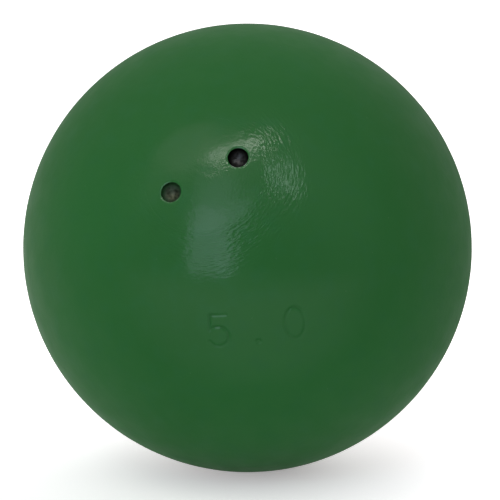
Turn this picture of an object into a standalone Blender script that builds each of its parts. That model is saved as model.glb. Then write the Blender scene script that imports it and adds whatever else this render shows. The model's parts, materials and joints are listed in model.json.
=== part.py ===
"""Shot put: a turned iron ball, weighted with lead through a filler bore that a two-hole screw plug closes."""

import math

import bmesh
import bpy

MM = 0.001

# Ball
BALL_DIAMETER = 110 * MM
BALL_RINGS = 34
TURN_STEPS = 64

# Direction of the plug's axis from the ball's centre; the front of the object looks along -Y
PLUG_ELEVATION = math.radians(30.6)
PLUG_TO_LEFT = math.radians(12.8)

# Gap that every piece keeps to what it touches
SEAT_GAP = 0.3 * MM

# Thread of the plug, drawn as plain cylinders on both sides of its mean diameter
THREAD_DIAMETER = 28.7 * MM
THREAD_LENGTH = 12 * MM
THREAD_LEAD_IN = 1 * MM
RIM_CHAMFER = 0.3 * MM
CAP_RINGS = 8

# Two blind holes for a pin spanner in the plug's face
SPANNER_HOLE_DIAMETER = 5 * MM
SPANNER_HOLE_DEPTH = 6 * MM
SPANNER_RIM_WALL = 2.7 * MM
SPANNER_LINE_ANGLE = math.radians(31.7)
SPANNER_HOLE_STEPS = 32

# Nose of the plug, with the lip that keeps the washer on it
NOSE_INSET = 3 * MM
NOSE_LIP_WIDTH = 0.6 * MM
NOSE_LIP_HEIGHT = 0.8 * MM

# Sealing washer
WASHER_THICKNESS = 2 * MM
WASHER_INSET = 1 * MM
WASHER_BEVEL = 0.3 * MM

# Filler bore below the thread: relief groove, washer seat and drilled chamber
RELIEF_DEPTH = 1 * MM
RELIEF_WIDTH = 3 * MM
SEAT_WIDTH = 2.5 * MM
DRILL_POINT_ANGLE = math.radians(118)

# What the chamber holds, from the plug inwards
WAD_THICKNESS = 7 * MM
WAD_EDGE_RADIUS = 1.5 * MM
WAD_EDGE_RINGS = 4
PELLETS_IN_RING = 6
PELLET_SUBDIVISIONS = 3
LEAD_DEPTH = 24 * MM
LEAD_DISH_DEPTH = 0.2 * MM
LEAD_STEPS = 48

# Edges sharper than this stay crisp
SHARP_EDGE = math.radians(30)
WELD = 0.001 * MM

# Radii, measured from the plug's axis
ball_radius = BALL_DIAMETER / 2
plug_radius = (THREAD_DIAMETER - SEAT_GAP) / 2
bore_radius = plug_radius + SEAT_GAP
chamber_radius = bore_radius - SEAT_WIDTH
nose_radius = chamber_radius - NOSE_INSET
washer_outer_radius = bore_radius - WASHER_INSET
washer_inner_radius = nose_radius + SEAT_GAP
relief_radius = bore_radius + RELIEF_DEPTH
spanner_hole_radius = SPANNER_HOLE_DIAMETER / 2
spanner_circle_radius = plug_radius - SPANNER_RIM_WALL - spanner_hole_radius
fill_radius = chamber_radius - SEAT_GAP

# Six pellets round one fill a circle of three pellet diameters, with a gap between all of them
pellet_radius = (2 * chamber_radius - 4 * SEAT_GAP) / 6
pellet_ring_radius = 2 * pellet_radius + SEAT_GAP


def height_on_ball(radius):
    """Height over the ball's centre of its surface, this far from the plug's axis."""
    return math.sqrt(ball_radius**2 - radius**2)


def drill_point_height(radius):
    """Height of a drill's pointed end."""
    return radius / math.tan(DRILL_POINT_ANGLE / 2)


# Heights over the ball's centre, along the plug's axis, from the rim inwards
plug_rim_height = height_on_ball(plug_radius - RIM_CHAMFER) - RIM_CHAMFER
plug_underside = plug_rim_height - THREAD_LENGTH
washer_top = plug_underside - SEAT_GAP
washer_bottom = washer_top - WASHER_THICKNESS
seat_height = washer_bottom - SEAT_GAP
nose_end = seat_height - NOSE_LIP_HEIGHT
wad_top = nose_end - SEAT_GAP
wad_bottom = wad_top - WAD_THICKNESS
pellet_height = wad_bottom - SEAT_GAP - pellet_radius
lead_top = pellet_height - pellet_radius - SEAT_GAP
lead_shoulder = lead_top - LEAD_DEPTH
lead_point = lead_shoulder - drill_point_height(fill_radius)
chamber_point = lead_point - SEAT_GAP / math.sin(DRILL_POINT_ANGLE / 2)
chamber_shoulder = chamber_point + drill_point_height(chamber_radius)


def clear_scene():
    """Remove whatever the file held."""
    for obj in list(bpy.data.objects):
        bpy.data.objects.remove(obj)


def painted_or_bare(name, colour, roughness, metallic):
    """Principled material of one sub-part."""
    material = bpy.data.materials.new(name)
    material.use_nodes = True
    material.diffuse_color = (*colour, 1)
    shader = material.node_tree.nodes["Principled BSDF"]
    shader.inputs["Base Color"].default_value = (*colour, 1)
    shader.inputs["Roughness"].default_value = roughness
    shader.inputs["Metallic"].default_value = metallic
    return material


def arc(radius, start, end, count):
    """Points of a circle about the ball's centre, by angle from the plug's axis."""
    angles = [start + (end - start) * step / count for step in range(count + 1)]
    return [(radius * math.sin(angle), radius * math.cos(angle)) for angle in angles]


def place(name, mesh, material, parent, location):
    """Put a mesh into the scene as a named sub-part."""
    mesh.materials.append(material)
    obj = bpy.data.objects.new(name, mesh)
    bpy.context.collection.objects.link(obj)
    obj.parent = parent
    obj.location = location
    return obj


def turned_mesh(name, profile, steps, closed=False):
    """Revolve a profile of (radius, height) points about Z, as a lathe does."""
    bm = bmesh.new()
    points = [bm.verts.new((radius, 0, height)) for radius, height in profile]
    edges = [bm.edges.new(pair) for pair in zip(points, points[1:])]
    if closed:
        edges.append(bm.edges.new((points[-1], points[0])))
    bmesh.ops.spin(
        bm,
        geom=points + edges,
        cent=(0, 0, 0),
        axis=(0, 0, 1),
        angle=math.tau,
        steps=steps,
        use_merge=True,
    )
    bmesh.ops.remove_doubles(bm, verts=bm.verts, dist=WELD)
    bmesh.ops.recalc_face_normals(bm, faces=bm.faces)
    mesh = bpy.data.meshes.new(name)
    bm.to_mesh(mesh)
    bm.free()
    return mesh


def smooth(mesh):
    """Shade round faces smooth and keep turned corners crisp."""
    mesh.shade_smooth()
    mesh.set_sharp_from_angle(angle=SHARP_EDGE)


def filler_bore_profile():
    """The bore from its drilled point out to its chamfered mouth."""
    mouth_radius = bore_radius + RIM_CHAMFER
    relief_top = seat_height + RELIEF_WIDTH
    return [
        (0, chamber_point),
        (chamber_radius, chamber_shoulder),
        (chamber_radius, seat_height),
        (relief_radius, seat_height),
        (relief_radius, relief_top - RELIEF_DEPTH),
        (bore_radius, relief_top),
        (bore_radius, height_on_ball(mouth_radius) - RIM_CHAMFER),
    ]


def make_ball_body(parent):
    """Ball and filler bore, turned together about the plug's axis."""
    mouth_angle = math.asin((bore_radius + RIM_CHAMFER) / ball_radius)
    outside = arc(ball_radius, mouth_angle, math.pi, BALL_RINGS)
    mesh = turned_mesh("ball_body", filler_bore_profile() + outside, TURN_STEPS)
    smooth(mesh)
    enamel = painted_or_bare("green_enamel", (0.016, 0.10, 0.022), 0.42, 0)
    return place("ball_body", mesh, enamel, parent, (0, 0, 0))


def plug_profile():
    """The plug from the crown of its face, down its thread and in under its nose."""
    crown_edge = math.asin((plug_radius - RIM_CHAMFER) / ball_radius)
    lip_radius = nose_radius + NOSE_LIP_WIDTH
    return arc(ball_radius, 0, crown_edge, CAP_RINGS) + [
        (plug_radius, plug_rim_height),
        (plug_radius, plug_underside + THREAD_LEAD_IN),
        (plug_radius - THREAD_LEAD_IN, plug_underside),
        (nose_radius, plug_underside),
        (nose_radius, seat_height),
        (lip_radius, seat_height),
        (lip_radius, nose_end),
        (0, nose_end),
    ]


def spanner_hole_profile():
    """A drilled blind hole, drawn as the drill that makes it."""
    bottom = height_on_ball(spanner_circle_radius) - SPANNER_HOLE_DEPTH
    above_face = ball_radius + SPANNER_HOLE_DEPTH
    return [
        (0, above_face),
        (spanner_hole_radius, above_face),
        (spanner_hole_radius, bottom),
        (0, bottom - drill_point_height(spanner_hole_radius)),
    ]


def drill_spanner_hole(plug, number, angle, material):
    """Cut one spanner hole into the plug's face."""
    name = f"spanner_drill_{number}"
    mesh = turned_mesh(name, spanner_hole_profile(), SPANNER_HOLE_STEPS)
    place_on_face = (
        spanner_circle_radius * math.cos(angle),
        spanner_circle_radius * math.sin(angle),
        0,
    )
    drill = place(name, mesh, material, plug.parent, place_on_face)
    drill.hide_render = True
    drill.display_type = "WIRE"
    cut = plug.modifiers.new(name, "BOOLEAN")
    cut.operation = "DIFFERENCE"
    cut.solver = "EXACT"
    cut.object = drill


def make_screw_plug(parent):
    """Headless screw plug whose face carries on the ball's round."""
    mesh = turned_mesh("screw_plug", plug_profile(), TURN_STEPS)
    smooth(mesh)
    enamel = painted_or_bare("plug_enamel", (0.017, 0.10, 0.024), 0.42, 0)
    plug = place("screw_plug", mesh, enamel, parent, (0, 0, 0))
    bare = painted_or_bare("drilled_steel", (0.25, 0.25, 0.26), 0.45, 1)
    for number, angle in enumerate((SPANNER_LINE_ANGLE, SPANNER_LINE_ANGLE + math.pi), start=1):
        drill_spanner_hole(plug, number, angle, bare)
    return plug


def make_seal_washer(parent):
    """Flat ring between the plug's underside and the seat, its outer edges broken."""
    bevelled_radius = washer_outer_radius - WASHER_BEVEL
    profile = [
        (bevelled_radius, washer_top),
        (washer_outer_radius, washer_top - WASHER_BEVEL),
        (washer_outer_radius, washer_bottom + WASHER_BEVEL),
        (bevelled_radius, washer_bottom),
        (washer_inner_radius, washer_bottom),
        (washer_inner_radius, washer_top),
    ]
    mesh = turned_mesh("seal_washer", profile, LEAD_STEPS, closed=True)
    smooth(mesh)
    soft_metal = painted_or_bare("soft_aluminium", (0.62, 0.62, 0.63), 0.45, 1)
    return place("seal_washer", mesh, soft_metal, parent, (0, 0, 0))


def rounded_edge(radius, height, up):
    """Quarter round of the wad's edge, from its flat face to its side or back."""
    points = []
    for step in range(WAD_EDGE_RINGS + 1):
        angle = math.pi / 2 * step / WAD_EDGE_RINGS
        outwards = radius - WAD_EDGE_RADIUS * (1 - math.sin(angle))
        inwards = WAD_EDGE_RADIUS * (1 - math.cos(angle))
        points.append((outwards, height - inwards if up else height + inwards))
    return points if up else points[::-1]


def make_packing_wad(parent):
    """Felt disc pressed in over the pellets."""
    profile = [(0, wad_top)]
    profile += rounded_edge(fill_radius, wad_top, up=True)
    profile += rounded_edge(fill_radius, wad_bottom, up=False)
    profile += [(0, wad_bottom)]
    mesh = turned_mesh("packing_wad", profile, LEAD_STEPS)
    smooth(mesh)
    felt = painted_or_bare("felt", (0.23, 0.20, 0.16), 0.95, 0)
    return place("packing_wad", mesh, felt, parent, (0, 0, 0))


def make_trim_pellet(number, place_in_layer, parent, lead):
    """One round lead pellet of the layer that trims the weight."""
    name = f"trim_pellet_{number}"
    bm = bmesh.new()
    bmesh.ops.create_icosphere(bm, subdivisions=PELLET_SUBDIVISIONS, radius=pellet_radius)
    mesh = bpy.data.meshes.new(name)
    bm.to_mesh(mesh)
    bm.free()
    mesh.shade_smooth()
    return place(name, mesh, lead, parent, (*place_in_layer, pellet_height))


def make_trim_pellets(parent):
    """Seven pellets: one in the middle and a ring round it."""
    middle = (0, 0)
    ring = [
        (pellet_ring_radius * math.cos(angle), pellet_ring_radius * math.sin(angle))
        for angle in (math.tau * step / PELLETS_IN_RING for step in range(PELLETS_IN_RING))
    ]
    for number, place_in_layer in enumerate([middle] + ring, start=1):
        lead = painted_or_bare(f"pellet_lead_{number}", (0.20, 0.205, 0.215), 0.5, 1)
        make_trim_pellet(number, place_in_layer, parent, lead)


def make_lead_fill(parent):
    """Slug of poured lead that fills the chamber's drilled point, dished a little as it cooled."""
    profile = [
        (0, lead_top - LEAD_DISH_DEPTH),
        (fill_radius, lead_top),
        (fill_radius, lead_shoulder),
        (0, lead_point),
    ]
    mesh = turned_mesh("lead_fill", profile, LEAD_STEPS)
    smooth(mesh)
    lead = painted_or_bare("poured_lead", (0.17, 0.175, 0.19), 0.55, 1)
    return place("lead_fill", mesh, lead, parent, (0, 0, 0))


def make_plug_axis():
    """Empty at the ball's centre whose Z runs out through the plug."""
    axis = bpy.data.objects.new("plug_axis", None)
    bpy.context.collection.objects.link(axis)
    axis.location = (0, 0, ball_radius)
    axis.rotation_euler = (math.pi / 2 - PLUG_ELEVATION, 0, -PLUG_TO_LEFT)
    return axis


def main():
    clear_scene()
    axis = make_plug_axis()
    make_ball_body(axis)
    make_screw_plug(axis)
    make_seal_washer(axis)
    make_packing_wad(axis)
    make_trim_pellets(axis)
    make_lead_fill(axis)


main()
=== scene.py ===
"""Looks of a shot put: green enamel over turned iron, a screw plug and what the filler bore holds."""

import json
import math

import bmesh
import bpy
import numpy as np
from mathutils import Matrix, Vector


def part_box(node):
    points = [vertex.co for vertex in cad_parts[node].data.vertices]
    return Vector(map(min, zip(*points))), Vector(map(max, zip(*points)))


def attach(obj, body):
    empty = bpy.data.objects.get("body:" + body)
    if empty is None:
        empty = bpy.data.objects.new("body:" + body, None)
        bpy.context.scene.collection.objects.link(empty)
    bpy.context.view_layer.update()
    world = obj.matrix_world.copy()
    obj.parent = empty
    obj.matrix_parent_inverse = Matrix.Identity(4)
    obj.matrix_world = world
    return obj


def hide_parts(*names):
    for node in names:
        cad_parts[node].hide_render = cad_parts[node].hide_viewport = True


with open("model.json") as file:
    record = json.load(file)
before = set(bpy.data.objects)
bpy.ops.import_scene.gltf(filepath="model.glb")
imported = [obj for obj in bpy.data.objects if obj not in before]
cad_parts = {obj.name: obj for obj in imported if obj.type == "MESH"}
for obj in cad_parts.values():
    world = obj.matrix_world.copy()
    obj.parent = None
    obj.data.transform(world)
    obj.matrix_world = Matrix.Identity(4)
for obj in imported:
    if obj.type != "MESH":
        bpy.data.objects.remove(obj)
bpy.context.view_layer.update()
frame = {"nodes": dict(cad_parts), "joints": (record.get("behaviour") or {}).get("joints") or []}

MM = 0.001
MICRON = 0.001 * MM
TURN = math.tau
SEED = 11
OWN_PLACE = "own_place"
ACROSS_PLUG = (1, 1, 0)
SHARP_EDGE = math.radians(35)

# Ball and plug axis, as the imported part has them
turn_joint = next(joint for joint in frame["joints"] if joint["name"] == "plug_turn")
BALL_CENTRE = Vector(turn_joint["pos_m"])
PLUG_AXIS = Vector(turn_joint["axis"]).normalized()
BALL_RADIUS = BALL_CENTRE.z

# Photograph: where the ball lies in its square frame, and how it was looked at
IMAGE_SIDE = 500
BALL_PIXEL = (247.5, 247.8)
BALL_PIXEL_RADIUS = 224.5
CAMERA_ELEVATION = math.radians(12)
CAMERA_DISTANCE = 2.0
CAMERA_REACH = 20
SENSOR_WIDTH = 36

# Plug's face, and the seam between it and the ball
PLUG_RIM_RADIUS = 14.95 * MM
SEAM_GAP = 0.005 * MM
SEAM_LAND = 1.2 * MM
SEAM_SINK = 0.0015 * MM
SEAM_SINK_WIDTH = 0.5 * MM
FACE_CURVE_RADIUS = 74 * MM
FACE_RIM_WIDTH = 2.5 * MM
FACE_PROFILE_STEPS = 400
FACE_RING = 0.2 * MM
PLUG_TURN_STEP = math.radians(1.25)
MOUTH_RADIUS = PLUG_RIM_RADIUS + SEAM_GAP
MOUTH_TOP = math.sqrt(BALL_RADIUS**2 - MOUTH_RADIUS**2) - SEAM_SINK

# Thread M30 x 2, right-handed
THREAD_PITCH = 2 * MM
THREAD_STEP = 0.2 * MM
THREAD_LEAD_IN = 0.5 * MM
THREAD_LEAD_SLOPE = 1.2
PLUG_CREST_RADIUS = 14.85 * MM
PLUG_ROOT_RADIUS = 13.7 * MM
BORE_CREST_RADIUS = 13.95 * MM
BORE_ROOT_RADIUS = 15.1 * MM
CREST_HALF_FLAT = 0.125 * MM
FLANK_CLEARANCE = 0.08 * MM
FLANK_SLOPE = 1 / math.tan(math.radians(30))

# Filler bore and nose of the plug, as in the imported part
PIECE_GAP = 0.3 * MM
RELIEF_RADIUS = 15.5 * MM
RELIEF_WIDTH = 3 * MM
RELIEF_SLOPE = 1 * MM
DRILL_HALF_ANGLE = math.radians(59)
NOSE_RADIUS = 9 * MM
NOSE_LIP_RADIUS = 9.6 * MM

# Spanner holes
SPANNER_HOLES = 2
SPANNER_CIRCLE_RADIUS = 9 * MM
SPANNER_LINE_ANGLE = math.radians(31.7)
SPANNER_HOLE_RADIUS = 2.5 * MM
SPANNER_HOLE_STEPS = 72
SHOULDER_WIDTH = 0.5 * MM
SHOULDER_DROP = 0.15 * MM
SHOULDER_POWER = 3
HOLE_WALL_DEPTH = 0.8 * MM
HOLE_FILL_DEPTH = 2.3 * MM
HOLE_FILL_STEPS = 12
WELD_DISTANCE = 0.001 * MM

# Turning marks round the plug: each wave's spacing in mm, height in microns and breaks in a turn
MARKS_END = 28 * MM
MARKS_FADE = 9 * MM
MARK_WAVES = ((0.82, 4.5, 19), (1.07, 5.5, 17), (1.43, 4.5, 23))
MARKS_SIDE = math.radians(-3)
MARKS_SIDE_SPREAD = 0.8
MARKS_WEAKEST = 0.4
MARK_WOBBLES = 5
MARK_WOBBLE = (0.2, 0.9)
MARK_STRENGTH = 0.55
MARK_BREAK = 0.45
MARK_SLANT = 40

# Weight mark: plain figures of 8 mm punches, half filled by the paint
STAMP_ELEVATION = math.radians(-8.4)
STAMP_TO_RIGHT = math.radians(2.4)
STAMP_HEIGHT = 8 * MM
STAMP_DEPTH = 0.29 * MM
STAMP_HALF_STROKE = 0.55 * MM
STAMP_PITCH = 9.2 * MM
STAMP_TILT = math.radians(6)
STAMP_CLEAR = 0.7
STAMP_CLEAR_CHANGE = 0.3
STAMP_CLEAR_WAVES = (20, 20, 70)

# Ball's skin: its slow swell, and its grid
SWELL = 0.004 * MM
SWELL_WAVES = (24, 14, 34)
COARSE_TURN = math.radians(2)
FINE_TURN = math.radians(0.4)
COARSE_RING = math.radians(3)
MARK_RING = math.radians(0.15)
STAMP_RING = math.radians(0.25)

# Pieces inside the ball
METAL_TURN_STEP = math.radians(3)
WASHER_EDGE = 0.35 * MM
LEAD_EDGE = 0.9 * MM
LEAD_SHARP_EDGE = math.radians(50)
LEAD_DISH = 0.35 * MM
LEAD_RING = 0.7 * MM
LEAD_STEP = 1 * MM
LEAD_SHRINK = 0.05 * MM
LEAD_WAVES = (20, 400, 1500)
PELLETS = 7
PELLET_SUBDIVISIONS = 5
PELLET_DENT = 0.03
PELLET_WAVES = (16, 2, 7)
WAD_TURN_STEP = math.radians(2)
WAD_EDGE = 2 * MM
WAD_EDGE_STEPS = 8
WAD_STEP = 0.4 * MM
WAD_DIMPLE = 0.15 * MM
WAD_MATTING = 0.09 * MM
WAD_WAVES = (60, 800, 5000)
WAD_PRINT = 0.1 * MM
WAD_PRINTS = 6

# Enamel
ENAMEL_DEEP = (0.0168, 0.124, 0.0228, 1)
ENAMEL_PALE = (0.0188, 0.133, 0.0263, 1)
ENAMEL_COOL = (0.0178, 0.128, 0.0298, 1)
DUST = (0.16, 0.22, 0.16, 1)
DUST_STRENGTH = 0.3
SPECK_CORE = 0.4
# Painted highlight on the lower lips of the spanner holes: colour, width, strength in each hole,
# direction and spread
PAINTED_LIP_GLINT = (0.34, 0.38, 0.32, 1)
LIP_GLINT_WIDTH = 0.3 * MM
LIP_GLINT_SHARES = (0.85, 0.25)
LIP_GLINT_TOWARD = (0.2, -1, 0)
LIP_GLINT_SPREAD = (0.1, 0.9)
PAINT_SPECULAR = 0.16
GLOSS_IOR = 1.29
GLOSS_ROUGHNESS = 0.15
GLOSS_FADE = (0.03, 0.26)

# Bump of the enamel, with heights and depths in millimetres
PEEL_SIZE = 1.7 * MM
PEEL_HEIGHT = 0.03
PIT_DEPTH = 0.05
GRAIN_SIZE = 0.5 * MM
GRAIN_HEIGHT = 0.01
GROOVES_START = (12 * MM, 16 * MM)
GROOVES_FADE = 20 * MM
GROOVE_HEIGHTS = (0.025, 0.12)
GROOVE_ARCS = 11
GROOVE_SPACING = 0.5 * MM

# Metals and felt: bright and dull colours, and bump heights in millimetres
IRON = ((0.24, 0.235, 0.23, 1), (0.12, 0.085, 0.06, 1))
STEEL = ((0.38, 0.37, 0.36, 1), (0.2, 0.18, 0.16, 1))
ALUMINIUM = ((0.62, 0.62, 0.63, 1), (0.46, 0.46, 0.47, 1))
STAIN_ROUGHER = 0.2
# Spanner holes: steel darkened as painted shade of the holes, over its real stains, and a wall band under
# the mouth, bare steel in one hole and enamel in the other, darker still as painted shade
SHADED_GREY_STEEL = ((0.044, 0.042, 0.043, 1), (0.019, 0.017, 0.017, 1))
SHADED_GREY_WALL = (0.015, 0.015, 0.014, 1)
SHADED_BROWN_STEEL = ((0.074, 0.078, 0.053, 1), (0.028, 0.032, 0.021, 1))
SHADED_ENAMEL_WALL = (0.01, 0.05, 0.012, 1)
COAT_END = (1 * MM, 1.9 * MM)
COAT_RAG_SIZE = 1.2 * MM
COAT_RAG_DEPTH = 0.8 * MM
DRILLED_ROUGHNESS = (0.42, 0.62)
DRILL_RING_STRETCH = (0.2, 0.2, 1)
DRILL_RING_SIZE = 0.15 * MM
DRILL_RING_HEIGHT = 0.02
CAST_LEAD = ((0.3, 0.305, 0.32, 1), (0.13, 0.135, 0.15, 1))
PELLET_LEAD = ((0.33, 0.335, 0.345, 1), (0.16, 0.165, 0.175, 1))
LEAD_ROUGHNESS = (0.38, 0.68)
LEAD_METALLIC = 0.9
LEAD_PIT_SIZE = 0.5 * MM
LEAD_PIT_HEIGHT = 0.05
SCUFF_STRETCH = (1, 0.15, 1)
FELT_DARK = (0.2, 0.17, 0.135, 1)
FELT_PALE = (0.27, 0.24, 0.195, 1)
FELT_FIBRE = (0.4, 0.36, 0.3, 1)
FELT_ROUGHNESS = 0.95
FELT_SPECULAR = 0.1
FELT_SHEEN = 0.35
FELT_SWIRL = 2 * MM
FIBRE_STRETCH = (1, 0.2, 0.6)
FIBRE_SIZE = 0.12 * MM
FIBRE_HEIGHT = 0.12

# Panels: degrees up and to the right of the line of sight, degrees wide and high, colour, brightness
PANEL_DISTANCE = 1.5
COOL_LIGHT = (0.7, 0.85, 1)
GLOSS_ONLY = ("diffuse",)
NO_GLOSS = ("glossy",)
PANELS = (
    ("panel_low", 0, -19, 22, 27, COOL_LIGHT, 2.65),
    ("panel_corner", -6, -10, 10, 14, COOL_LIGHT, 1),
    ("panel_high", 25, -20, 14, 24, COOL_LIGHT, 1.5),
    ("panel_middle", 18, -20, 14, 12, COOL_LIGHT, 2),
    ("panel_side", 20, -7, 10, 14, COOL_LIGHT, 2),
    ("panel_faint", 48, -46, 26, 20, (0.95, 1, 0.9), 1.1),
    ("panel_left", 50, -72, 60, 50, (0.9, 1, 0.86), 0.42),
    ("panel_right", 35, 21, 9, 18, (0.85, 1, 1), 6, GLOSS_ONLY),
    ("panel_fill", 46, 2, 60, 50, (0.97, 1, 0.96), 1, NO_GLOSS),
)
STREAK_LAMPS = 6
STREAK_START = (43.3, -22.5)
STREAK_END = (55.5, 11)
STREAK_SIZE = (6, 2.5)
STREAK_COLOUR = (1, 1, 0.95)
STREAK_BRIGHTNESS = (20, 27)

# Floor and world
FLOOR_SIDE = 4
FLOOR_PALE = 0.9
FLOOR_FRONT = (-0.12, -0.045)
FLOOR_FRONT_PALE = 0.7
FLOOR_FAR = (-0.6, -0.15)
FLOOR_FAR_SHARE = 0.35
FLOOR_RIGHT = (0.03, 0.1)
FLOOR_GLOW = 0.97
FLOOR_GLOW_COLOUR = (1, 0.945, 0.968, 1)
# Painted shadow: soft ovals round the ball's foot that lower the floor's glow, each a middle, a reach and
# a depth
FLOOR_PAINTED_SHADOWS = (
    ((-0.04, -0.06, 0), (0.2, 0.126, 1), 0.57),
    ((0.004, 0.002, 0), (0.017, 0.017, 1), 0.29),
)
FLOOR_PAINTED_SHADOW_POWER = -1.5
FLOOR_FRONT_GLOW = 0.93
FLOOR_FRONT_GLOSS = 0.1
WORLD_LOBES = (((-0.71, 0.71, 0), 0.48), ((0.71, 0.71, 0), 0.86))
WORLD_LOBE_POWER = 2


def plug_frame():
    """Matrix whose Z runs out through the plug from the ball's centre, with X level to the right."""
    right = Vector((-PLUG_AXIS.y, PLUG_AXIS.x, 0)).normalized()
    up = PLUG_AXIS.cross(right)
    turned_axes = Matrix((right, up, PLUG_AXIS)).transposed().to_4x4()
    return Matrix.Translation(BALL_CENTRE) @ turned_axes


PLUG_FRAME = plug_frame()
TO_PLUG = PLUG_FRAME.inverted()


def along_plug(name):
    """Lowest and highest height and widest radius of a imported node, seen from the plug's axis."""
    points = np.array([TO_PLUG @ vertex.co for vertex in frame["nodes"][name].data.vertices])
    return points[:, 2].min(), points[:, 2].max(), np.hypot(points[:, 0], points[:, 1]).max()


def direction(elevation, to_right):
    """Unit vector from the ball's centre, by elevation and by angle to the right of the front."""
    return Vector(
        (
            math.sin(to_right) * math.cos(elevation),
            -math.cos(to_right) * math.cos(elevation),
            math.sin(elevation),
        )
    )


def steps(start, end, step):
    """Even steps of about this size, without the end."""
    count = max(1, math.ceil(abs(end - start) / step))
    return np.linspace(start, end, count, endpoint=False)


def smooth_step(low, high, amount):
    """0 below low, 1 above high and a smooth rise between."""
    share = np.clip((amount - low) / (high - low), 0, 1)
    return share * share * (3 - 2 * share)


def unevenness(vectors, waves, lowest, highest, seed):
    """Slow random swell over points, about -1 to 1, with wave numbers between two limits."""
    rng = np.random.default_rng(seed)
    total = np.zeros(vectors.shape[:-1])
    for _ in range(waves):
        wave = rng.normal(size=3)
        wave *= rng.uniform(lowest, highest) / np.linalg.norm(wave)
        total += np.sin(vectors @ wave + rng.uniform(0, TURN))
    return total / math.sqrt(waves)


# Meshes


def turned(name, rows, azimuths, first_rows=None):
    """Mesh of rings round Z, closed by poles, which are rings of radius nought, or else as a loop.

    Rows before first_rows carry the first material, and those after it the second.
    """
    points = []
    rings = []
    count = 0
    for radius, height in rows:
        pole = np.ndim(radius) == 0 and radius == 0
        angles = np.zeros(1) if pole else azimuths
        ring = np.empty((len(angles), 3))
        ring[:, 0] = radius * np.cos(angles)
        ring[:, 1] = radius * np.sin(angles)
        ring[:, 2] = height
        points.append(ring)
        rings.append(np.arange(count, count + len(angles)))
        count += len(angles)
    if len(rings[0]) > 1:
        rings.append(rings[0])
    faces = []
    for inner, outer in zip(rings, rings[1:]):
        inner_next = np.roll(inner, -1)
        outer_next = np.roll(outer, -1)
        if len(inner) == 1:
            fan = np.column_stack([np.full(len(outer), inner[0]), outer, outer_next])
        elif len(outer) == 1:
            fan = np.column_stack([inner, np.full(len(inner), outer[0]), inner_next])
        else:
            fan = np.column_stack([inner, outer, outer_next, inner_next])
        faces.extend(fan.tolist())
    mesh = bpy.data.meshes.new(name)
    mesh.from_pydata(np.vstack(points).tolist(), [], faces)
    if first_rows is not None:
        second = np.arange(len(faces)) >= first_rows * len(azimuths)
        mesh.polygons.foreach_set("material_index", second.astype(np.int32))
    return mesh


def keep_own_place(mesh):
    """Store each point's place in the plug's frame, for the materials to use."""
    places = np.empty(3 * len(mesh.vertices))
    mesh.vertices.foreach_get("co", places)
    to_plug = np.array(TO_PLUG)
    places = places.reshape(-1, 3) @ to_plug[:3, :3].T + to_plug[:3, 3]
    kept = mesh.attributes.get(OWN_PLACE) or mesh.attributes.new(OWN_PLACE, "FLOAT_VECTOR", "POINT")
    kept.data.foreach_set("vector", places.ravel())


def place(name, mesh, matrix, materials):
    """Object in the scene, with its mesh moved to where it belongs."""
    for material in materials:
        mesh.materials.append(material)
    mesh.transform(matrix)
    made = bpy.data.objects.new(name, mesh)
    bpy.context.scene.collection.objects.link(made)
    return made


def stand_for(piece, node_name, body):
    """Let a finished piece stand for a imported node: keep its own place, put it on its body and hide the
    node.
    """
    keep_own_place(piece.data)
    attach(piece, body)
    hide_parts(node_name)


def crisp(mesh, angle=SHARP_EDGE):
    """Shade smooth, with edges over this angle kept sharp."""
    mesh.shade_smooth()
    mesh.set_sharp_from_angle(angle=angle)


def arc_points(centre, radii, start, end, count=16):
    """Points on an ellipse's arc, by angles in degrees."""
    angles = np.radians(np.linspace(start, end, count))
    return [(centre[0] + radii[0] * math.cos(a), centre[1] + radii[1] * math.sin(a)) for a in angles]


def quarter_round(centre, radius, start, count=4):
    """Quarter round of a turned profile, clockwise from this angle in degrees."""
    return arc_points(centre, (radius, radius), start, start - 90, count + 1)


# Ball


def turning_marks(polar, azimuth):
    """Height of the tool marks that the paint has left showing round the plug."""
    out = BALL_RADIUS * polar
    toward = smooth_step(0, MARKS_SIDE_SPREAD, np.cos(azimuth - MARKS_SIDE))
    side = MARKS_WEAKEST + (1 - MARKS_WEAKEST) * toward
    fade = side * (1 - smooth_step(MARKS_END - MARKS_FADE, MARKS_END, out))
    rng = np.random.default_rng(SEED)
    total = np.zeros(np.broadcast(polar, azimuth).shape)
    for period, height, breaks in MARK_WAVES:
        wobble = 0
        for turns in range(1, MARK_WOBBLES + 1):
            size = rng.uniform(*MARK_WOBBLE)
            wobble = wobble + size * np.sin(turns * azimuth + rng.uniform(0, TURN)) / turns
        broken = np.sin(breaks * azimuth + MARK_SLANT * polar + rng.uniform(0, TURN))
        strength = MARK_STRENGTH + MARK_BREAK * broken
        total += height * MICRON * strength * np.sin(TURN * out / (period * MM) + wobble)
    return fade * total


def weight_strokes():
    """Strokes of the weight figures, in figure heights, round the middle of the mark."""
    pitch = STAMP_PITCH / STAMP_HEIGHT
    five = [(0.27, 0.5), (-0.22, 0.5), (-0.27, 0.06)]
    five += arc_points((-0.02, -0.18), (0.31, 0.31), 140, -150)
    point = arc_points((0, -0.44), (0.05, 0.05), 0, 360, 8)
    nought = arc_points((0, 0), (0.3, 0.5), 0, 360, 32)
    places = ((five, -pitch), (point, 0), (nought, pitch))
    return [[(x + shift, y) for x, y in stroke] for stroke, shift in places]


def stroke_distance(across, up, stroke):
    """Distance of each point to a line of short straight pieces."""
    nearest = np.full(across.shape, np.inf)
    for (x0, y0), (x1, y1) in zip(stroke, stroke[1:]):
        dx, dy = x1 - x0, y1 - y0
        share = np.clip(((across - x0) * dx + (up - y0) * dy) / (dx * dx + dy * dy), 0, 1)
        nearest = np.minimum(nearest, np.hypot(across - x0 - share * dx, up - y0 - share * dy))
    return nearest


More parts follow.
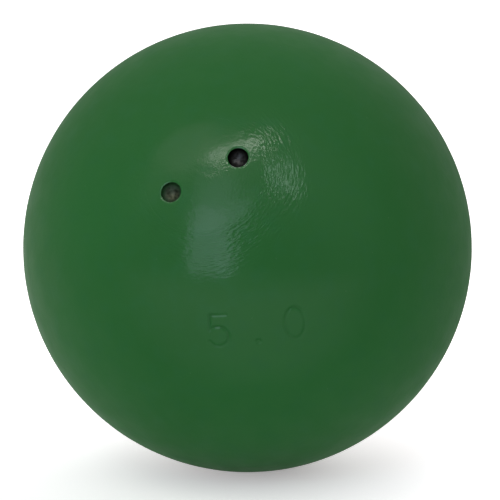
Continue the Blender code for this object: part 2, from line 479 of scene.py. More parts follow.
def stamp_axes():
    """Middle, right and up of the weight mark, in the plug's frame."""
    to_plug = TO_PLUG.to_3x3()
    middle = direction(STAMP_ELEVATION, STAMP_TO_RIGHT)
    right = Matrix.Rotation(STAMP_TILT, 3, middle) @ Vector((-middle.y, middle.x, 0)).normalized()
    return [np.array(to_plug @ axis) for axis in (middle, right, middle.cross(right))]


def weight_mark(vectors):
    """Depth of the weight mark at each direction from the ball's centre."""
    middle, right, up = stamp_axes()
    scale = BALL_RADIUS / STAMP_HEIGHT
    across = vectors @ right * scale
    height = vectors @ up * scale
    half_stroke = STAMP_HALF_STROKE / STAMP_HEIGHT
    depth = np.zeros(across.shape)
    for stroke in weight_strokes():
        near = 1 - smooth_step(0, half_stroke, stroke_distance(across, height, stroke))
        depth = np.maximum(depth, near)
    change = np.clip(unevenness(vectors, *STAMP_CLEAR_WAVES, SEED), -1, 1)
    clear = STAMP_CLEAR + STAMP_CLEAR_CHANGE * change
    return np.where(vectors @ middle > 0, STAMP_DEPTH * depth * clear, 0)


def ball_surface_rows(polar, azimuths):
    """Rings of the ball's painted outside."""
    polar = polar[:, None]
    azimuth = azimuths[None, :]
    vectors = np.stack(
        [
            np.sin(polar) * np.cos(azimuth),
            np.sin(polar) * np.sin(azimuth),
            np.cos(polar) * np.ones_like(azimuth),
        ],
        axis=-1,
    )
    from_seam = BALL_RADIUS * polar - PLUG_RIM_RADIUS
    height = -SEAM_SINK * np.exp(-from_seam / SEAM_SINK_WIDTH)
    height = height + turning_marks(polar, azimuth) - weight_mark(vectors)
    height = height + SWELL * unevenness(vectors, *SWELL_WAVES, SEED)
    radius = BALL_RADIUS + height
    across = radius * np.sin(polar)
    along = radius * np.cos(polar)
    return list(zip(across, along))


def skin_azimuths(window_middle, window_half):
    """Turn angles of the ball's grid: fine across the weight mark, coarse elsewhere."""
    fine = steps(window_middle - window_half, window_middle + window_half, FINE_TURN)
    coarse = steps(window_middle + window_half, window_middle - window_half + TURN, COARSE_TURN)
    return np.concatenate([fine, coarse])


def thread_wave(height, azimuths, crest, root, crest_flat):
    """Radius of a right-hand thread, from a crest that falls away on both sides to the root."""
    turn = height - THREAD_PITCH * azimuths / TURN
    from_crest = np.abs((turn / THREAD_PITCH + 0.5) % 1 - 0.5) * THREAD_PITCH
    fall = np.maximum(0, from_crest - crest_flat) * FLANK_SLOPE
    return np.clip(crest - fall, min(crest, root), max(crest, root))


def bore_thread_rows(bottom, top, azimuths):
    """Rings of the thread in the filler bore, from the relief up to the land under the mouth."""
    root_flat = CREST_HALF_FLAT + FLANK_CLEARANCE
    rows = []
    for height in np.append(steps(bottom, top, THREAD_STEP), top):
        radius = thread_wave(height, azimuths, BORE_ROOT_RADIUS, BORE_CREST_RADIUS, root_flat)
        rows.append((radius, height))
    return rows


def filler_bore_rows(azimuths):
    """Rings of the bare filler bore from its drilled point to the land under its mouth."""
    lead_low, _, lead_radius = along_plug("lead_fill")
    washer_low, _, _ = along_plug("seal_washer")
    chamber_radius = lead_radius + PIECE_GAP
    seat = washer_low - PIECE_GAP
    point = lead_low - PIECE_GAP / math.sin(DRILL_HALF_ANGLE)
    rows = [
        (0, point),
        (chamber_radius, point + chamber_radius / math.tan(DRILL_HALF_ANGLE)),
        (chamber_radius, seat),
        (RELIEF_RADIUS, seat),
        (RELIEF_RADIUS, seat + RELIEF_WIDTH - RELIEF_SLOPE),
        (BORE_ROOT_RADIUS, seat + RELIEF_WIDTH - RELIEF_SLOPE / 2),
    ]
    land = MOUTH_TOP - SEAM_LAND
    rows += bore_thread_rows(seat + RELIEF_WIDTH, land - THREAD_STEP, azimuths)
    return rows + [(MOUTH_RADIUS, land)]


def make_ball(iron, enamel):
    """Painted ball with its bare threaded filler bore."""
    middle = stamp_axes()[0]
    stamp_polar = math.acos(middle[2])
    stamp_half = (STAMP_PITCH + STAMP_HEIGHT) / BALL_RADIUS
    azimuths = skin_azimuths(math.atan2(middle[1], middle[0]), stamp_half / math.sin(stamp_polar))
    mouth = math.asin(MOUTH_RADIUS / BALL_RADIUS)
    marks_end = MARKS_END / BALL_RADIUS
    stamp_start = stamp_polar - stamp_half / 2
    stamp_end = stamp_polar + stamp_half / 2
    polar = np.concatenate(
        [
            steps(mouth, marks_end, MARK_RING),
            steps(marks_end, stamp_start, COARSE_RING),
            steps(stamp_start, stamp_end, STAMP_RING),
            steps(stamp_end, math.pi, COARSE_RING),
        ]
    )
    bare = filler_bore_rows(azimuths)
    rows = bare + ball_surface_rows(polar, azimuths) + [(0, -BALL_RADIUS)]
    mesh = turned("ball_skin", rows, azimuths, len(bare))
    crisp(mesh)
    ball = place("ball_skin", mesh, PLUG_FRAME, [iron, enamel])
    stand_for(ball, "ball_body", "ball")


# Plug


def face_profile():
    """Radii and heights of the plug's face: flatter than the ball, and drawn level with it at the rim."""
    radii = np.linspace(0, PLUG_RIM_RADIUS, FACE_PROFILE_STEPS)
    own = radii / np.sqrt(FACE_CURVE_RADIUS**2 - radii**2)
    ball = radii / np.sqrt(BALL_RADIUS**2 - radii**2)
    near_rim = smooth_step(PLUG_RIM_RADIUS - FACE_RIM_WIDTH, PLUG_RIM_RADIUS, radii)
    slope = own + (ball - own) * near_rim
    falls = (slope[1:] + slope[:-1]) / 2 * np.diff(radii)
    fallen = np.concatenate([[0], np.cumsum(falls)])
    rim_height = math.sqrt(BALL_RADIUS**2 - PLUG_RIM_RADIUS**2)
    return radii, rim_height + fallen[-1] - fallen


FACE_PROFILE = face_profile()


def face_height(radius):
    """Height of the plug's face this far from its axis."""
    return np.interp(radius, *FACE_PROFILE)


def spanner_hole(number):
    """Place of a spanner hole across the plug's face."""
    angle = SPANNER_LINE_ANGLE + TURN * number / SPANNER_HOLES
    return Vector((math.cos(angle), math.sin(angle), 0)) * SPANNER_CIRCLE_RADIUS


def hole_shoulders(across, up):
    """How far the painted face rounds down into the spanner holes."""
    drop = np.zeros(across.shape)
    for number in range(SPANNER_HOLES):
        centre = spanner_hole(number)
        from_hole = np.hypot(across - centre.x, up - centre.y) - SPANNER_HOLE_RADIUS
        drop += SHOULDER_DROP * np.clip(1 - from_hole / SHOULDER_WIDTH, 0, 1) ** SHOULDER_POWER
    return drop


def plug_face_rows(azimuths):
    """Rings of the plug's painted face from its crown to its edge."""
    rows = [(0, face_height(0))]
    for radius in np.append(steps(0, PLUG_RIM_RADIUS, FACE_RING)[1:], PLUG_RIM_RADIUS):
        sink = SEAM_SINK * math.exp((radius - PLUG_RIM_RADIUS) / SEAM_SINK_WIDTH)
        shoulders = hole_shoulders(radius * np.cos(azimuths), radius * np.sin(azimuths))
        rows.append((radius, face_height(radius) - sink - shoulders))
    return rows


def plug_shank_rows(top, azimuths):
    """Rings of the plug's bare thread, and of the nose that holds the washer."""
    washer_low, washer_high, _ = along_plug("seal_washer")
    nose_end, _, _ = along_plug("screw_plug")
    underside = washer_high + PIECE_GAP
    seat = washer_low - PIECE_GAP
    land = top - SEAM_LAND
    rows = [(PLUG_RIM_RADIUS, land)]
    for height in steps(land - THREAD_STEP, underside, THREAD_STEP):
        wave = thread_wave(height, azimuths, PLUG_CREST_RADIUS, PLUG_ROOT_RADIUS, CREST_HALF_FLAT)
        lead_in = PLUG_ROOT_RADIUS - THREAD_LEAD_IN + THREAD_LEAD_SLOPE * (height - underside)
        rows.append((np.minimum(wave, lead_in), height))
    rows += [
        (PLUG_ROOT_RADIUS - THREAD_LEAD_IN, underside),
        (NOSE_RADIUS, underside),
        (NOSE_RADIUS, seat),
        (NOSE_LIP_RADIUS, seat),
        (NOSE_LIP_RADIUS, nose_end),
        (0, nose_end),
    ]
    return rows


def drill(number, steel):
    """Cutter for a spanner hole, whose bottom is dished by what fills it."""
    centre = spanner_hole(number)
    azimuths = steps(0, TURN, TURN / SPANNER_HOLE_STEPS) + SPANNER_LINE_ANGLE
    face = face_height(SPANNER_CIRCLE_RADIUS)
    above = face + HOLE_FILL_DEPTH
    rows = [(0, above), (SPANNER_HOLE_RADIUS, above)]
    for angle in np.linspace(0, math.pi / 2, HOLE_FILL_STEPS, endpoint=False):
        depth = HOLE_WALL_DEPTH + (HOLE_FILL_DEPTH - HOLE_WALL_DEPTH) * math.sin(angle)
        rows.append((SPANNER_HOLE_RADIUS * math.cos(angle), face - depth))
    rows.append((0, face - HOLE_FILL_DEPTH))
    mesh = turned(f"drill_{number}", rows, azimuths)
    mesh.shade_smooth()
    return place(f"drill_{number}", mesh, PLUG_FRAME @ Matrix.Translation(centre), [steel])


def cut(piece, cutter):
    """Take a cutter out of a piece and remove the cutter."""
    tool = piece.modifiers.new(cutter.name, "BOOLEAN")
    tool.operation = "DIFFERENCE"
    tool.solver = "EXACT"
    tool.material_mode = "TRANSFER"
    tool.object = cutter
    shapes = bpy.context.evaluated_depsgraph_get()
    cut_mesh = bpy.data.meshes.new_from_object(piece.evaluated_get(shapes))
    piece.modifiers.remove(tool)
    piece.data = cut_mesh
    bpy.data.objects.remove(cutter)


def weld(mesh):
    """Merge points that a cut has left on top of each other, and drop those half way along an edge."""
    shape = bmesh.new()
    shape.from_mesh(mesh)
    bmesh.ops.remove_doubles(shape, verts=shape.verts, dist=WELD_DISTANCE)
    half_way = [vertex for vertex in shape.verts if len(vertex.link_edges) == 2]
    bmesh.ops.dissolve_verts(shape, verts=half_way)
    shape.to_mesh(mesh)
    shape.free()


def make_plug(enamel, steel, drilled):
    """Screw plug with a painted face, a bare thread and two spanner holes."""
    azimuths = steps(0, TURN, PLUG_TURN_STEP)
    painted = plug_face_rows(azimuths)
    rows = painted + plug_shank_rows(face_height(PLUG_RIM_RADIUS), azimuths)
    mesh = turned("plug_skin", rows, azimuths, len(painted) - 1)
    plug = place("plug_skin", mesh, PLUG_FRAME, [enamel, steel])
    for number, material in enumerate(drilled):
        cut(plug, drill(number, material))
    weld(plug.data)
    crisp(plug.data)
    stand_for(plug, "screw_plug", "plug")


# Pieces inside the ball


def ring_points(radius, height, azimuths):
    """Points of a level ring round Z."""
    level = np.full(len(azimuths), height)
    return np.column_stack([radius * np.cos(azimuths), radius * np.sin(azimuths), level])


def make_washer(aluminium):
    """Soft sealing washer with rounded edges."""
    low, high, outer = along_plug("seal_washer")
    inner = NOSE_RADIUS + PIECE_GAP
    edge = WASHER_EDGE
    rows = quarter_round((outer - edge, high - edge), edge, 90)
    rows += quarter_round((outer - edge, low + edge), edge, 0)
    rows += quarter_round((inner + edge, low + edge), edge, -90)
    rows += quarter_round((inner + edge, high - edge), edge, 180)
    mesh = turned("washer_ring", rows, steps(0, TURN, METAL_TURN_STEP))
    crisp(mesh)
    washer = place("washer_ring", mesh, PLUG_FRAME, [aluminium])
    stand_for(washer, "seal_washer", "washer")


def lead_profile():
    """Outline of the poured slug from its dished top to its pointed foot, without the foot's tip."""
    low, high, outer = along_plug("lead_fill")
    flat = outer - LEAD_EDGE
    shoulder = low + outer / math.tan(DRILL_HALF_ANGLE)
    profile = [(0, high - LEAD_DISH)]
    for radius in np.append(steps(0, flat, LEAD_RING)[1:], flat):
        profile.append((radius, high - LEAD_DISH * (1 - (radius / outer) ** 2)))
    profile += quarter_round((flat, high - LEAD_EDGE), LEAD_EDGE, 90)[1:]
    profile += [(outer, height) for height in steps(high - LEAD_EDGE, shoulder, LEAD_STEP)[1:]]
    for radius in steps(outer, 0, LEAD_STEP):
        profile.append((radius, shoulder - (outer - radius) / math.tan(DRILL_HALF_ANGLE)))
    return profile


def make_lead(lead):
    """Poured slug with a shrunk top and the print of the drilled bore under it."""
    azimuths = steps(0, TURN, METAL_TURN_STEP)
    rows = []
    for radius, height in lead_profile():
        points = ring_points(radius, height, azimuths)
        shrink = LEAD_SHRINK * (1 + np.clip(unevenness(points, *LEAD_WAVES, SEED), -1, 1))
        rows.append((radius - shrink, height) if radius else (0, height))
    low, _, _ = along_plug("lead_fill")
    rows.append((0, low))
    mesh = turned("lead_slug", rows, azimuths)
    crisp(mesh, LEAD_SHARP_EDGE)
    slug = place("lead_slug", mesh, PLUG_FRAME, [lead])
    stand_for(slug, "lead_fill", "ball")


def make_pellet(number, lead):
    """Lead trim pellet, dented a little by its neighbours."""
    name = f"trim_pellet_{number}"
    low, high = (np.array(end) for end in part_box(name))
    radius = (high - low).min() / 2
    mesh = bpy.data.meshes.new(f"lead_pellet_{number}")
    shape = bmesh.new()
    bmesh.ops.create_icosphere(shape, subdivisions=PELLET_SUBDIVISIONS, radius=1)
    points = np.array([vertex.co for vertex in shape.verts])
    dents = np.clip(unevenness(points, *PELLET_WAVES, SEED + number), 0, 1)
    for vertex, dent in zip(shape.verts, dents):
        vertex.co *= radius * (1 - PELLET_DENT * dent)
    shape.to_mesh(mesh)
    shape.free()
    mesh.shade_smooth()
    pellet = place(f"lead_pellet_{number}", mesh, Matrix.Translation((low + high) / 2), [lead])
    stand_for(pellet, name, "ball")


def wad_profile(low, high, outer):
    """Outline of the felt wad from its top to its underside, without the two middle points."""
    flat = outer - WAD_EDGE
    profile = [(radius, high) for radius in steps(WAD_STEP, flat, WAD_STEP)]
    profile += quarter_round((flat, high - WAD_EDGE), WAD_EDGE, 90, WAD_EDGE_STEPS)
    profile += [(outer, height) for height in steps(high - WAD_EDGE, low + WAD_EDGE, WAD_STEP)[1:]]
    profile += quarter_round((flat, low + WAD_EDGE), WAD_EDGE, 0, WAD_EDGE_STEPS)
    return profile + [(radius, low) for radius in steps(flat, 0, WAD_STEP)[1:]]


def make_wad(felt):
    """Felt wad with soft edges, a matted surface and prints of the pellets under it."""
    low, high, outer = along_plug("packing_wad")
    azimuths = steps(0, TURN, WAD_TURN_STEP)
    middle = (low + high) / 2
    prints = WAD_PRINT * (1 + np.cos(WAD_PRINTS * azimuths))
    rows = [(0, high - WAD_DIMPLE)]
    for radius, height in wad_profile(low, high, outer):
        points = ring_points(radius, height, azimuths)
        inward = WAD_MATTING * (1 + np.clip(unevenness(points, *WAD_WAVES, SEED), -1, 1))
        underside = height < middle and radius < outer - WAD_EDGE
        sunk = inward + prints if underside else inward
        rows.append((radius - inward * radius / outer, height - np.sign(height - middle) * sunk))
    rows.append((0, low + WAD_DIMPLE))
    mesh = turned("felt_wad", rows, azimuths)
    mesh.shade_smooth()
    wad = place("felt_wad", mesh, PLUG_FRAME, [felt])
    stand_for(wad, "packing_wad", "ball")


# Shader nodes


def node(tree, kind, inputs=None, **settings):
    """New shader node with its settings, its inputs set to values or linked to sockets."""
    made = tree.nodes.new(kind)
    for name, setting in settings.items():
        setattr(made, name, setting)
    for name, given in (inputs or {}).items():
        if isinstance(given, bpy.types.NodeSocket):
            tree.links.new(given, made.inputs[name])
        else:
            made.inputs[name].default_value = given
    return made


def maths(tree, operation, *given):
    """Result of a math node."""
    return node(tree, "ShaderNodeMath", dict(enumerate(given)), operation=operation).outputs[0]


def vector(tree, operation, *given):
    """Result of a vector math node: a number for a length or a dot product, or else a vector."""
    made = node(tree, "ShaderNodeVectorMath", dict(enumerate(given)), operation=operation)
    return made.outputs["Value" if operation in ("LENGTH", "DOT_PRODUCT") else "Vector"]


def noise(tree, where, size, detail=2):
    """Soft random numbers from 0 to 1 in patches of about this size."""
    made = node(tree, "ShaderNodeTexNoise", {"Vector": where, "Scale": 1 / size, "Detail": detail})
    return made.outputs["Fac"]


def rise(tree, amount, low, high, start=0, end=1):
    """Smooth change from start to end as an amount goes from low to high."""
    ends = {"From Min": low, "From Max": high, "To Min": start, "To Max": end}
    made = node(tree, "ShaderNodeMapRange", {"Value": amount, **ends}, interpolation_type="SMOOTHSTEP")
    return made.outputs["Result"]


def patches(tree, where, size, low, high, start=0, end=1, detail=2):
    """Soft-edged random patches of this size: start where the noise is low, end where it is high."""
    return rise(tree, noise(tree, where, size, detail), low, high, start, end)


def mixed(tree, factor, first, second):
    """Colour between two others."""
    ends = {"Factor": factor, "A": first, "B": second}
    return node(tree, "ShaderNodeMix", ends, data_type="RGBA").outputs["Result"]


def specks(tree, where, cell, radius, share):
    """Small round spots, one in some of the cells of this size."""
    cells = node(tree, "ShaderNodeTexVoronoi", {"Vector": where, "Scale": 1 / cell})
    reach = radius / cell
    near = rise(tree, cells.outputs["Distance"], SPECK_CORE * reach, reach, start=1, end=0)
    colour = node(tree, "ShaderNodeSeparateColor", {0: cells.outputs["Color"]})
    chosen = maths(tree, "LESS_THAN", colour.outputs["Red"], share)
    return maths(tree, "MULTIPLY", near, chosen)


def own_place(tree):
    """Place of a point in the plug's frame."""
    return node(tree, "ShaderNodeAttribute", attribute_name=OWN_PLACE).outputs["Vector"]


def round_plug(tree, where):
    """Distance of a point from the plug's axis, and its direction from there."""
    flat = vector(tree, "MULTIPLY", where, ACROSS_PLUG)
    return vector(tree, "LENGTH", flat), vector(tree, "NORMALIZE", flat)


def ridges(tree, along, around, arcs, spacing):
    """Random ridges that run round the plug's axis, this far apart, broken into arcs."""
    spread = vector(tree, "MULTIPLY", around, (arcs, arcs, 0))
    rings = node(tree, "ShaderNodeCombineXYZ", {"Z": maths(tree, "DIVIDE", along, spacing)})
    return noise(tree, vector(tree, "ADD", spread, rings.outputs[0]), size=1, detail=1)


def new_material(name):
    """Empty material with its tree and its Principled shader."""
    material = bpy.data.materials.new(name)
    material.use_nodes = True
    return material, material.node_tree, material.node_tree.nodes["Principled BSDF"]


def set_bump(tree, shader, height):
    """Bump from a height in millimetres."""
    made = node(tree, "ShaderNodeBump", {"Height": height, "Distance": MM, "Strength": 1})
    tree.links.new(made.outputs[0], shader.inputs["Normal"])
    tree.links.new(made.outputs[0], shader.inputs["Coat Normal"])


# Materials


def painted_lip_glints(tree, where):
    """How strongly a painted highlight pales the paint along the lower edge of the spanner holes."""
    height = node(tree, "ShaderNodeSeparateXYZ", {0: where}).outputs["Z"]
    on_plug_side = maths(tree, "GREATER_THAN", height, 0)
    rings = 0
    for hole_number, share in enumerate(LIP_GLINT_SHARES):
        from_hole = vector(tree, "SUBTRACT", where, spanner_hole(hole_number))
        from_hole = vector(tree, "MULTIPLY", from_hole, ACROSS_PLUG)
        out = vector(tree, "LENGTH", from_hole)
        ring = rise(tree, out, SPANNER_HOLE_RADIUS, SPANNER_HOLE_RADIUS + LIP_GLINT_WIDTH, start=1, end=0)
        below = vector(tree, "DOT_PRODUCT", vector(tree, "NORMALIZE", from_hole), LIP_GLINT_TOWARD)
        ring = maths(tree, "MULTIPLY", ring, rise(tree, below, *LIP_GLINT_SPREAD, end=share))
        rings = maths(tree, "ADD", ring, rings)
    ragged = patches(tree, where, size=0.6 * MM, low=0.35, high=0.6)
    return maths(tree, "MULTIPLY", maths(tree, "MULTIPLY", rings, on_plug_side), ragged)


def enamel_colour(tree, where):
    """Green with faint clouds, cooler blotches, a little dust and a painted highlight on the spanner
    holes' lower lips.
    """
    clouds = patches(tree, where, size=35 * MM, low=0.3, high=0.7, detail=3)
    colour = mixed(tree, clouds, ENAMEL_DEEP, ENAMEL_PALE)
    blotches = patches(tree, where, size=4 * MM, low=0.45, high=0.75, end=0.7)
    colour = mixed(tree, blotches, colour, ENAMEL_COOL)
    dust = specks(tree, where, cell=2.6 * MM, radius=0.16 * MM, share=0.15)
    colour = mixed(tree, maths(tree, "MULTIPLY", dust, DUST_STRENGTH), colour, DUST)
    return mixed(tree, painted_lip_glints(tree, where), colour, PAINTED_LIP_GLINT)


def enamel_height(tree, where):
    """Orange peel, pits, and the turning grooves that show through round the plug."""
    out, around = round_plug(tree, where)
    peel = maths(tree, "MULTIPLY", noise(tree, where, PEEL_SIZE, detail=1), PEEL_HEIGHT)
    pits = specks(tree, where, cell=9 * MM, radius=0.35 * MM, share=0.3)
    pits = maths(tree, "MULTIPLY", pits, -PIT_DEPTH)
    grain = maths(tree, "MULTIPLY", noise(tree, where, GRAIN_SIZE, detail=1), GRAIN_HEIGHT)
    marks_side = (math.cos(MARKS_SIDE), math.sin(MARKS_SIDE), 0)
    toward = vector(tree, "DOT_PRODUCT", around, marks_side)
    side = rise(tree, toward, 0, MARKS_SIDE_SPREAD, start=MARKS_WEAKEST)
    fade = maths(tree, "MULTIPLY", side, rise(tree, out, GROOVES_FADE, MARKS_END, start=1, end=0))
    grooves = maths(tree, "MULTIPLY", fade, rise(tree, out, *GROOVES_START, *GROOVE_HEIGHTS))
    grooves = maths(tree, "MULTIPLY", grooves, ridges(tree, out, around, GROOVE_ARCS, GROOVE_SPACING))
    height = maths(tree, "ADD", peel, pits)
    height = maths(tree, "ADD", height, grain)
    return maths(tree, "ADD", height, grooves)


def make_enamel():
    """Green enamel: a rough paint under a gloss that shows where it is looked at squarely."""
    material, tree, shader = new_material("green_enamel")
    where = own_place(tree)
    tree.links.new(enamel_colour(tree, where), shader.inputs["Base Color"])
    rough = patches(tree, where, size=6 * MM, low=0.3, high=0.7, start=0.62, end=0.68)
    tree.links.new(rough, shader.inputs["Roughness"])
    facing = node(tree, "ShaderNodeLayerWeight", {"Blend": 0.5}).outputs["Facing"]
    tree.links.new(rise(tree, facing, *GLOSS_FADE, start=1, end=0), shader.inputs["Coat Weight"])
    shader.inputs["Specular IOR Level"].default_value = PAINT_SPECULAR
    shader.inputs["Coat IOR"].default_value = GLOSS_IOR
    shader.inputs["Coat Roughness"].default_value = GLOSS_ROUGHNESS
    set_bump(tree, shader, enamel_height(tree, where))
    return material


def turned_metal(name, colours, roughness, ridge):
    """Machined metal with fine tool rings, stained in patches; the ridge is in millimetres."""
    bright, stain = colours
    material, tree, shader = new_material(name)
    where = own_place(tree)
    out, around = round_plug(tree, where)
    axes = node(tree, "ShaderNodeSeparateXYZ", {0: where})
    along = maths(tree, "ADD", out, axes.outputs["Z"])
    rings = ridges(tree, along, around, arcs=2, spacing=0.12 * MM)
    stains = patches(tree, where, size=3 * MM, low=0.42, high=0.68, detail=4)
    colour = mixed(tree, stains, bright, stain)
    colour = mixed(tree, rise(tree, rings, low=0.35, high=0.65, end=0.25), colour, stain)
    tree.links.new(colour, shader.inputs["Base Color"])
    rough = rise(tree, stains, 0, 1, start=roughness, end=roughness + STAIN_ROUGHER)
    tree.links.new(rough, shader.inputs["Roughness"])
    shader.inputs["Metallic"].default_value = 1
    set_bump(tree, shader, maths(tree, "MULTIPLY", rings, ridge))
    return material


def drilled_steel(name, colours, wall, wall_metal):
    """Drilled steel darkened as painted shade of the hole, with a coat of this colour on the wall under
    the mouth, darker still as painted shade.
    """
    bright, stain = colours
    material, tree, shader = new_material(name)
    where = own_place(tree)
    axes = node(tree, "ShaderNodeSeparateXYZ", {0: where})
    face = face_height(SPANNER_CIRCLE_RADIUS)
    depth = maths(tree, "SUBTRACT", float(face), axes.outputs["Z"])
    # Painted shade: a dark band on the wall under the mouth
    ragged = maths(tree, "MULTIPLY", noise(tree, where, COAT_RAG_SIZE, detail=3), COAT_RAG_DEPTH)
    coat = rise(tree, maths(tree, "SUBTRACT", depth, ragged), *COAT_END, start=1, end=0)
    flattened = vector(tree, "MULTIPLY", where, DRILL_RING_STRETCH)
    rings = noise(tree, flattened, DRILL_RING_SIZE, detail=1)
    stains = patches(tree, where, size=0.8 * MM, low=0.35, high=0.7, detail=3)
    steel = mixed(tree, stains, bright, stain)
    tree.links.new(mixed(tree, coat, steel, wall), shader.inputs["Base Color"])
    tree.links.new(rise(tree, coat, 0, 1, start=1, end=wall_metal), shader.inputs["Metallic"])
    tree.links.new(rise(tree, stains, 0, 1, *DRILLED_ROUGHNESS), shader.inputs["Roughness"])
    set_bump(tree, shader, maths(tree, "MULTIPLY", rings, DRILL_RING_HEIGHT))
    return material


def make_lead_metal(name, colours):
    """Soft grey lead with a dull oxide bloom and scuffs."""
    bright, oxide = colours
    material, tree, shader = new_material(name)
    where = own_place(tree)
    bloom = patches(tree, where, size=2.5 * MM, low=0.35, high=0.65, detail=5)
    drawn_out = vector(tree, "MULTIPLY", where, SCUFF_STRETCH)
    scuffs = patches(tree, drawn_out, size=0.3 * MM, low=0.6, high=0.72)
    colour = mixed(tree, bloom, bright, oxide)
    tree.links.new(mixed(tree, scuffs, colour, bright), shader.inputs["Base Color"])
    tree.links.new(rise(tree, bloom, 0, 1, *LEAD_ROUGHNESS), shader.inputs["Roughness"])
    shader.inputs["Metallic"].default_value = LEAD_METALLIC
    pitted = noise(tree, where, LEAD_PIT_SIZE, detail=4)
    set_bump(tree, shader, maths(tree, "MULTIPLY", pitted, LEAD_PIT_HEIGHT))
    return material


def make_felt():
    """Pressed grey-brown wool felt with pale and dark fibres."""
    material, tree, shader = new_material("wool_felt")
    where = own_place(tree)
    bent = node(tree, "ShaderNodeTexNoise", {"Vector": where, "Scale": 1 / FELT_SWIRL}).outputs["Color"]
    bent = vector(tree, "MULTIPLY", bent, (FELT_SWIRL, FELT_SWIRL, FELT_SWIRL))
    swirled = vector(tree, "ADD", where, bent)
    drawn_out = vector(tree, "MULTIPLY", swirled, FIBRE_STRETCH)
    fibres = noise(tree, drawn_out, FIBRE_SIZE, detail=3)
    clumps = patches(tree, where, size=1.5 * MM, low=0.3, high=0.7, detail=3)
    colour = mixed(tree, clumps, FELT_DARK, FELT_PALE)
    colour = mixed(tree, rise(tree, fibres, low=0.5, high=0.7), colour, FELT_FIBRE)
    tree.links.new(colour, shader.inputs["Base Color"])
    shader.inputs["Roughness"].default_value = FELT_ROUGHNESS
    shader.inputs["Specular IOR Level"].default_value = FELT_SPECULAR
    shader.inputs["Sheen Weight"].default_value = FELT_SHEEN
    set_bump(tree, shader, maths(tree, "MULTIPLY", fibres, FIBRE_HEIGHT))
    return material


# Stage


def make_camera():
    """Long lens in front of the ball, framed as the photograph is."""
    camera = bpy.data.cameras.new("camera")
    half_angle = math.asin(BALL_RADIUS / CAMERA_DISTANCE)
    focal_pixels = BALL_PIXEL_RADIUS / math.tan(half_angle)
    camera.sensor_width = SENSOR_WIDTH
    camera.lens = focal_pixels * SENSOR_WIDTH / IMAGE_SIDE
    camera.shift_x = 0.5 - BALL_PIXEL[0] / IMAGE_SIDE
    camera.shift_y = BALL_PIXEL[1] / IMAGE_SIDE - 0.5
    camera.clip_end = CAMERA_REACH
    holder = bpy.data.objects.new("camera", camera)
    bpy.context.scene.collection.objects.link(holder)
    back = direction(CAMERA_ELEVATION, 0)
    holder.location = BALL_CENTRE + back * CAMERA_DISTANCE
    holder.rotation_euler = (-back).to_track_quat("-Z", "Y").to_euler()
    bpy.context.scene.camera = holder


def make_panel(name, up, to_right, width, height, colour, brightness, hides_from=()):
    """Soft studio panel that faces the ball, placed and sized by angles from the line of sight.

    Brightness 1 is as bright as white paper. A panel that hides from diffuse rays makes gloss and no
    shadow, and one that hides from glossy rays lights without gloss.
    """
    lamp = bpy.data.lights.new(name, "AREA")
    lamp.shape = "RECTANGLE"
    lamp.size = 2 * PANEL_DISTANCE * math.tan(math.radians(width) / 2)
    lamp.size_y = 2 * PANEL_DISTANCE * math.tan(math.radians(height) / 2)
    lamp.color = colour
    lamp.energy = brightness * math.pi * lamp.size * lamp.size_y
    holder = bpy.data.objects.new(name, lamp)
    bpy.context.scene.collection.objects.link(holder)
    level = direction(math.radians(up), math.radians(to_right))
    out = Matrix.Rotation(-CAMERA_ELEVATION, 3, "X") @ level
    holder.location = BALL_CENTRE + out * PANEL_DISTANCE
    holder.rotation_euler = out.to_track_quat("Z", "Y").to_euler()
    holder.visible_camera = False
    holder.visible_diffuse = "diffuse" not in hides_from
    holder.visible_glossy = "glossy" not in hides_from


def floor_glow(tree, where, lit):
    """Light that lifts the floor to white for the camera and in gloss, lowered by painted shadow ovals
    round the ball's foot.
    """
    glow = FLOOR_GLOW
    # Painted shadow: each oval lowers the glow most at its middle
    for middle, reach, depth in FLOOR_PAINTED_SHADOWS:
        out = vector(tree, "DIVIDE", vector(tree, "SUBTRACT", where, middle), reach)
        out = vector(tree, "LENGTH", out)
        painted_shadow = maths(tree, "POWER", maths(tree, "MULTIPLY_ADD", out, out, 1), FLOOR_PAINTED_SHADOW_POWER)
        glow = maths(tree, "MULTIPLY_ADD", painted_shadow, -depth, glow)
    light = node(tree, "ShaderNodeLightPath").outputs
    seen = maths(tree, "ADD", light["Is Camera Ray"], light["Is Glossy Ray"])
    seen = maths(tree, "ADD", seen, light["Is Transmission Ray"])
    behind = maths(tree, "MULTIPLY", maths(tree, "MULTIPLY", glow, seen), lit)
    dim = maths(tree, "SUBTRACT", 1, lit)
    in_gloss = maths(tree, "SUBTRACT", seen, light["Is Camera Ray"])
    front = maths(tree, "MULTIPLY_ADD", in_gloss, FLOOR_FRONT_GLOSS, light["Is Camera Ray"])
    front = maths(tree, "MULTIPLY", maths(tree, "MULTIPLY", front, FLOOR_FRONT_GLOW), dim)
    return maths(tree, "ADD", behind, front)


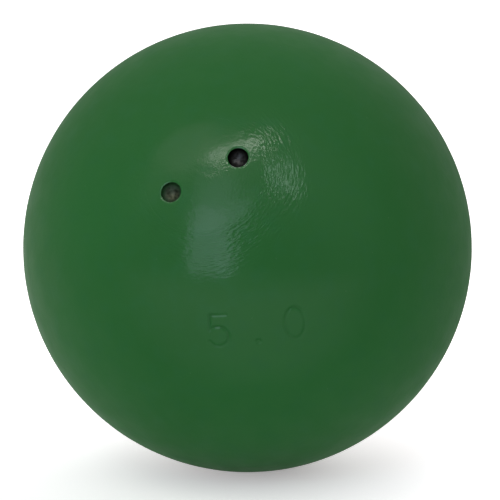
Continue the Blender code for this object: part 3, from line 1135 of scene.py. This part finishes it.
def make_floor():
    """Floor that reads white, less pale in front of the ball; part of the ball's soft shadow is painted
    into its glow.

    In front and on the right it glows less in gloss than to the camera.
    """
    corners = [(-FLOOR_SIDE, -FLOOR_SIDE, 0), (FLOOR_SIDE, -FLOOR_SIDE, 0)]
    corners += [(FLOOR_SIDE, FLOOR_SIDE, 0), (-FLOOR_SIDE, FLOOR_SIDE, 0)]
    mesh = bpy.data.meshes.new("floor")
    mesh.from_pydata(corners, [], [(0, 1, 2, 3)])
    material, tree, shader = new_material("floor")
    where = node(tree, "ShaderNodeTexCoord").outputs["Object"]
    axes = node(tree, "ShaderNodeSeparateXYZ", {0: where})
    back = rise(tree, axes.outputs["Y"], *FLOOR_FRONT)
    left = rise(tree, axes.outputs["X"], *FLOOR_RIGHT, start=1, end=0)
    pale = rise(tree, back, 0, 1, FLOOR_FRONT_PALE, FLOOR_PALE)
    near = rise(tree, axes.outputs["Y"], *FLOOR_FAR, start=FLOOR_FAR_SHARE)
    pale = maths(tree, "MULTIPLY", pale, near)
    tree.links.new(pale, shader.inputs["Base Color"])
    lit = maths(tree, "MULTIPLY", back, left)
    tree.links.new(floor_glow(tree, where, lit), shader.inputs["Emission Strength"])
    shader.inputs["Emission Color"].default_value = FLOOR_GLOW_COLOUR
    shader.inputs["Roughness"].default_value = 1
    shader.inputs["Specular IOR Level"].default_value = 0
    place("floor", mesh, Matrix.Identity(4), [material])


def make_world():
    """Soft light from two broad lobes, behind the ball on the left and on the right."""
    world = bpy.data.worlds.new("studio")
    world.use_nodes = True
    tree = world.node_tree
    where = node(tree, "ShaderNodeTexCoord").outputs["Generated"]
    total = 0
    for axis, strength in WORLD_LOBES:
        half = maths(tree, "MULTIPLY_ADD", vector(tree, "DOT_PRODUCT", where, axis), 0.5, 0.5)
        lobe = maths(tree, "MULTIPLY", maths(tree, "POWER", half, WORLD_LOBE_POWER), strength)
        total = maths(tree, "ADD", lobe, total)
    background = tree.nodes["Background"]
    background.inputs["Color"].default_value = (1, 1, 1, 1)
    tree.links.new(total, background.inputs["Strength"])
    bpy.context.scene.world = world


def make_lights():
    """Panels whose mirror images are the ball's patches of gloss, and a row of lamps for the streak."""
    for panel in PANELS:
        make_panel(*panel)
    low, high = STREAK_BRIGHTNESS
    for lamp_number in range(STREAK_LAMPS):
        share = lamp_number / (STREAK_LAMPS - 1)
        up, to_right = (start + (end - start) * share for start, end in zip(STREAK_START, STREAK_END))
        name = f"panel_streak_{lamp_number}"
        brightness = low + (high - low) * share
        make_panel(name, up, to_right, *STREAK_SIZE, STREAK_COLOUR, brightness, GLOSS_ONLY)


make_camera()
make_floor()
make_world()
make_lights()
enamel = make_enamel()
bore_iron = turned_metal("bore_iron", IRON, roughness=0.4, ridge=0.015)
plug_steel = turned_metal("plug_steel", STEEL, roughness=0.3, ridge=0.01)
aluminium = turned_metal("washer_aluminium", ALUMINIUM, roughness=0.3, ridge=0.01)
bare_hole = drilled_steel("drilled_bare", SHADED_GREY_STEEL, SHADED_GREY_WALL, wall_metal=1)
painted_hole = drilled_steel("drilled_painted", SHADED_BROWN_STEEL, SHADED_ENAMEL_WALL, wall_metal=0)
make_ball(bore_iron, enamel)
make_plug(enamel, plug_steel, (bare_hole, painted_hole))
make_washer(aluminium)
make_lead(make_lead_metal("cast_lead", CAST_LEAD))
pellet_lead = make_lead_metal("pellet_lead", PELLET_LEAD)
for pellet_number in range(1, PELLETS + 1):
    make_pellet(pellet_number, pellet_lead)
make_wad(make_felt())

bpy.context.scene.view_settings.view_transform = "Standard"
